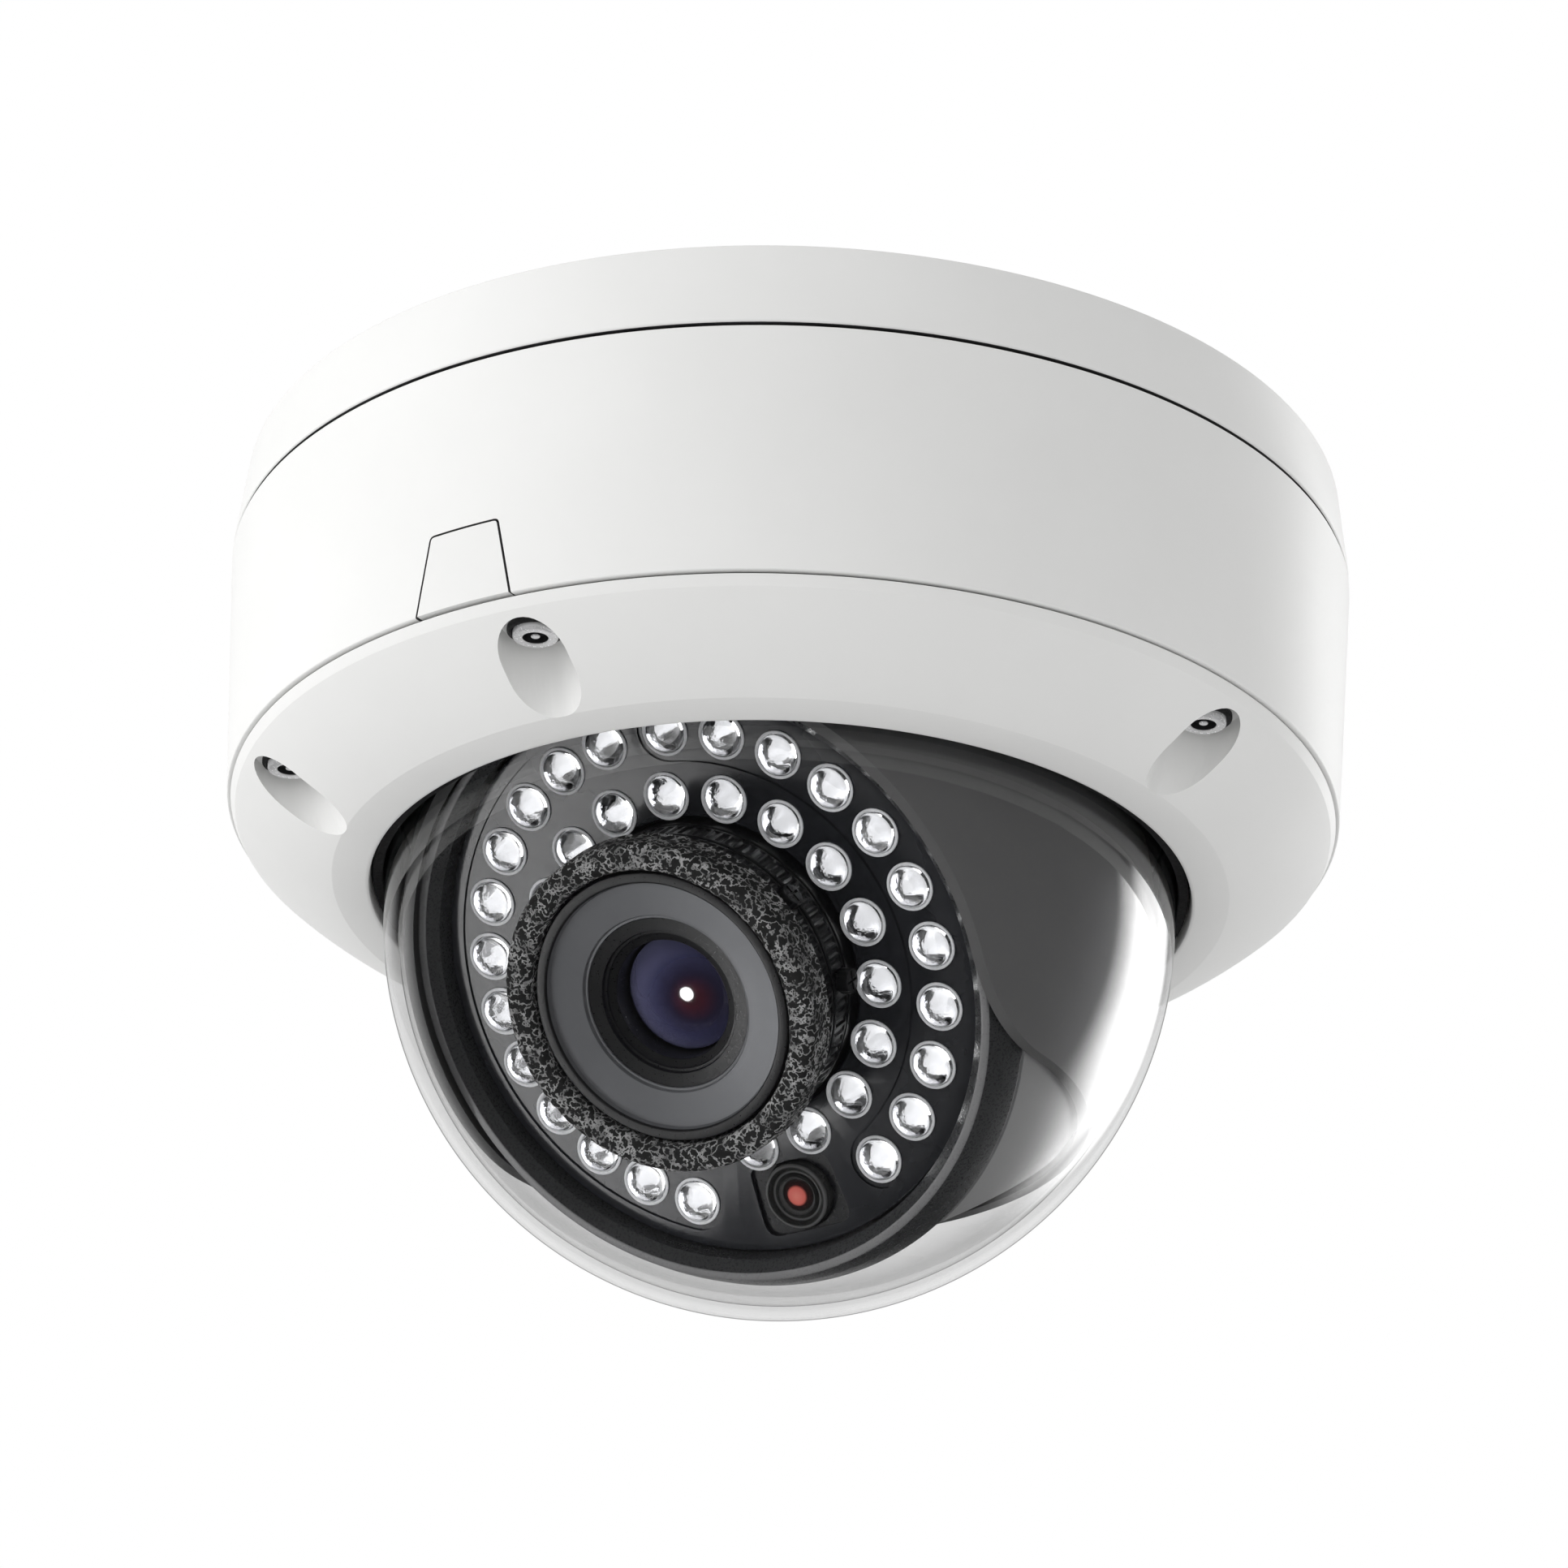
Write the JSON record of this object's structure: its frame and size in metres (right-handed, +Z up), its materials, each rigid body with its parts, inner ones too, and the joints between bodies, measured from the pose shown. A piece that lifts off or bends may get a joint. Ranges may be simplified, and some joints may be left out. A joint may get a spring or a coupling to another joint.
{
  "type": "dome security camera",
  "caption": "Ceiling-mounted vandal-resistant dome camera: round painted housing, clear dome, and a panning, tilting infrared lens module inside.",
  "frame": {"origin": "centre of the flat ceiling face of the mounting base", "axes": "+Z points up into the ceiling and the camera hangs along -Z; -Y is the front, where the side cable cover and the lens are"},
  "size_m": [0.14, 0.14, 0.1061],
  "materials": {
    "white_paint": "satin powder coat",
    "black_rubber": "matt",
    "circuit_board": "solder mask",
    "led_board": "clear LED domes on a board",
    "ivory_plastic": "moulded",
    "tinned_metal": "tinned",
    "aluminium": "extruded",
    "sheet_steel": "zinc plated",
    "dark_plastic": "satin moulded",
    "grey_plastic": "satin moulded",
    "gloss_black": "polished",
    "lens_black": "fine satin",
    "nose_grey": "anodised satin",
    "foam": "flecked foam",
    "lens_glass": "coated optical glass",
    "clear_dome": "clear polycarbonate",
    "screw_steel": "bright steel"
  },
  "bodies": {
    "housing": {"mounting_base": "white_paint", "cable_grommet": "black_rubber", "main_board": "circuit_board", "main_board_screw_1": "screw_steel", "main_board_screw_2": "screw_steel", "main_board_screw_3": "screw_steel", "network_header": "ivory_plastic", "sd_card_slot": "tinned_metal", "reset_switch": "tinned_metal", "soc_heat_sink": "aluminium", "chassis_plate": "sheet_steel", "chassis_screw_1": "screw_steel", "chassis_screw_2": "screw_steel", "chassis_screw_3": "screw_steel", "pan_retainer": "dark_plastic", "main_housing": "white_paint", "side_cable_cover": "white_paint", "dome_cover": "white_paint", "cover_seal": "black_rubber", "cover_screw_1": "screw_steel", "cover_screw_2": "screw_steel", "cover_screw_3": "screw_steel", "cover_screw_4": "screw_steel", "cover_screw_5": "screw_steel", "cover_screw_6": "screw_steel", "dome_bubble": "clear_dome", "bubble_gasket": "black_rubber", "bubble_clamp_ring": "dark_plastic", "clamp_screw_1": "screw_steel", "clamp_screw_2": "screw_steel", "clamp_screw_3": "screw_steel"},
    "reset_plunger": {"reset_button": "lens_black"},
    "pan_carriage": {"turntable": "dark_plastic", "yoke_bracket": "sheet_steel", "yoke_screw_1": "screw_steel", "yoke_screw_2": "screw_steel", "tilt_screw_left": "screw_steel", "tilt_screw_right": "screw_steel", "side_shroud": "dark_plastic"},
    "eyeball": {"eyeball_shell": "grey_plastic", "eyeball_bezel": "dark_plastic"},
    "lens_module": {"module_frame": "dark_plastic", "ir_panel": "gloss_black", "ir_led_board": "led_board", "light_sensor": "gloss_black", "sensor_board": "circuit_board", "image_sensor": "lens_black", "ir_cut_switch": "ivory_plastic", "lens_barrel": "lens_black", "lens_nose": "nose_grey", "foam_ring": "foam", "front_lens": "lens_glass"},
    "zoom_control": {"zoom_ring": "lens_black", "zoom_lock_screw": "screw_steel"},
    "focus_control": {"focus_ring": "lens_black", "focus_lock_screw": "screw_steel"},
    "zoom_optics": {"zoom_lens_group": "lens_glass"},
    "focus_optics": {"focus_lens_group": "lens_glass"},
    "day_night_filter": {"ir_cut_filter": "lens_glass"}
  },
  "joints": [
    {"name": "pan", "type": "hinge", "parent": "housing", "child": "pan_carriage", "pos_m": [0, 0, -0.0574], "axis": [0, 0, 1], "range_deg": [-177.5, 177.5]},
    {"name": "tilt", "type": "hinge", "parent": "pan_carriage", "child": "eyeball", "pos_m": [0, 0, -0.0574], "axis": [0.8281, -0.5606, 0], "range_deg": [-25, 50]},
    {"name": "image_rotation", "type": "hinge", "parent": "eyeball", "child": "lens_module", "pos_m": [0, 0, -0.0574], "axis": [-0.4295, -0.6343, -0.6428], "range_deg": [-177.5, 177.5]},
    {"name": "zoom_ring_turn", "type": "hinge", "parent": "lens_module", "child": "zoom_control", "pos_m": [0, 0, -0.0574], "axis": [-0.4295, -0.6343, -0.6428], "range_deg": [-35, 35]},
    {"name": "focus_ring_turn", "type": "hinge", "parent": "lens_module", "child": "focus_control", "pos_m": [0, 0, -0.0574], "axis": [-0.4295, -0.6343, -0.6428], "range_deg": [-50, 50]},
    {"name": "zoom_group_slide", "type": "slide", "parent": "lens_module", "child": "zoom_optics", "axis": [-0.4295, -0.6343, -0.6428], "range_m": [-0.0025, 0.0025]},
    {"name": "focus_group_slide", "type": "slide", "parent": "lens_module", "child": "focus_optics", "axis": [-0.4295, -0.6343, -0.6428], "range_m": [-0.0018, 0.0018]},
    {"name": "day_night_slide", "type": "slide", "parent": "lens_module", "child": "day_night_filter", "axis": [0.8281, -0.5606, 0], "range_m": [-0.0064, 0]},
    {"name": "reset_press", "type": "slide", "parent": "housing", "child": "reset_plunger", "axis": [0, 0, 1], "range_m": [0, 0.0004], "stiffness_N_per_m": 500, "springref_m": -0.0005}
  ],
  "couplings": [
    {"joint": "zoom_group_slide", "follows": "zoom_ring_turn", "m_per_rad": 0.00405},
    {"joint": "focus_group_slide", "follows": "focus_ring_turn", "m_per_rad": 0.00204}
  ]
}
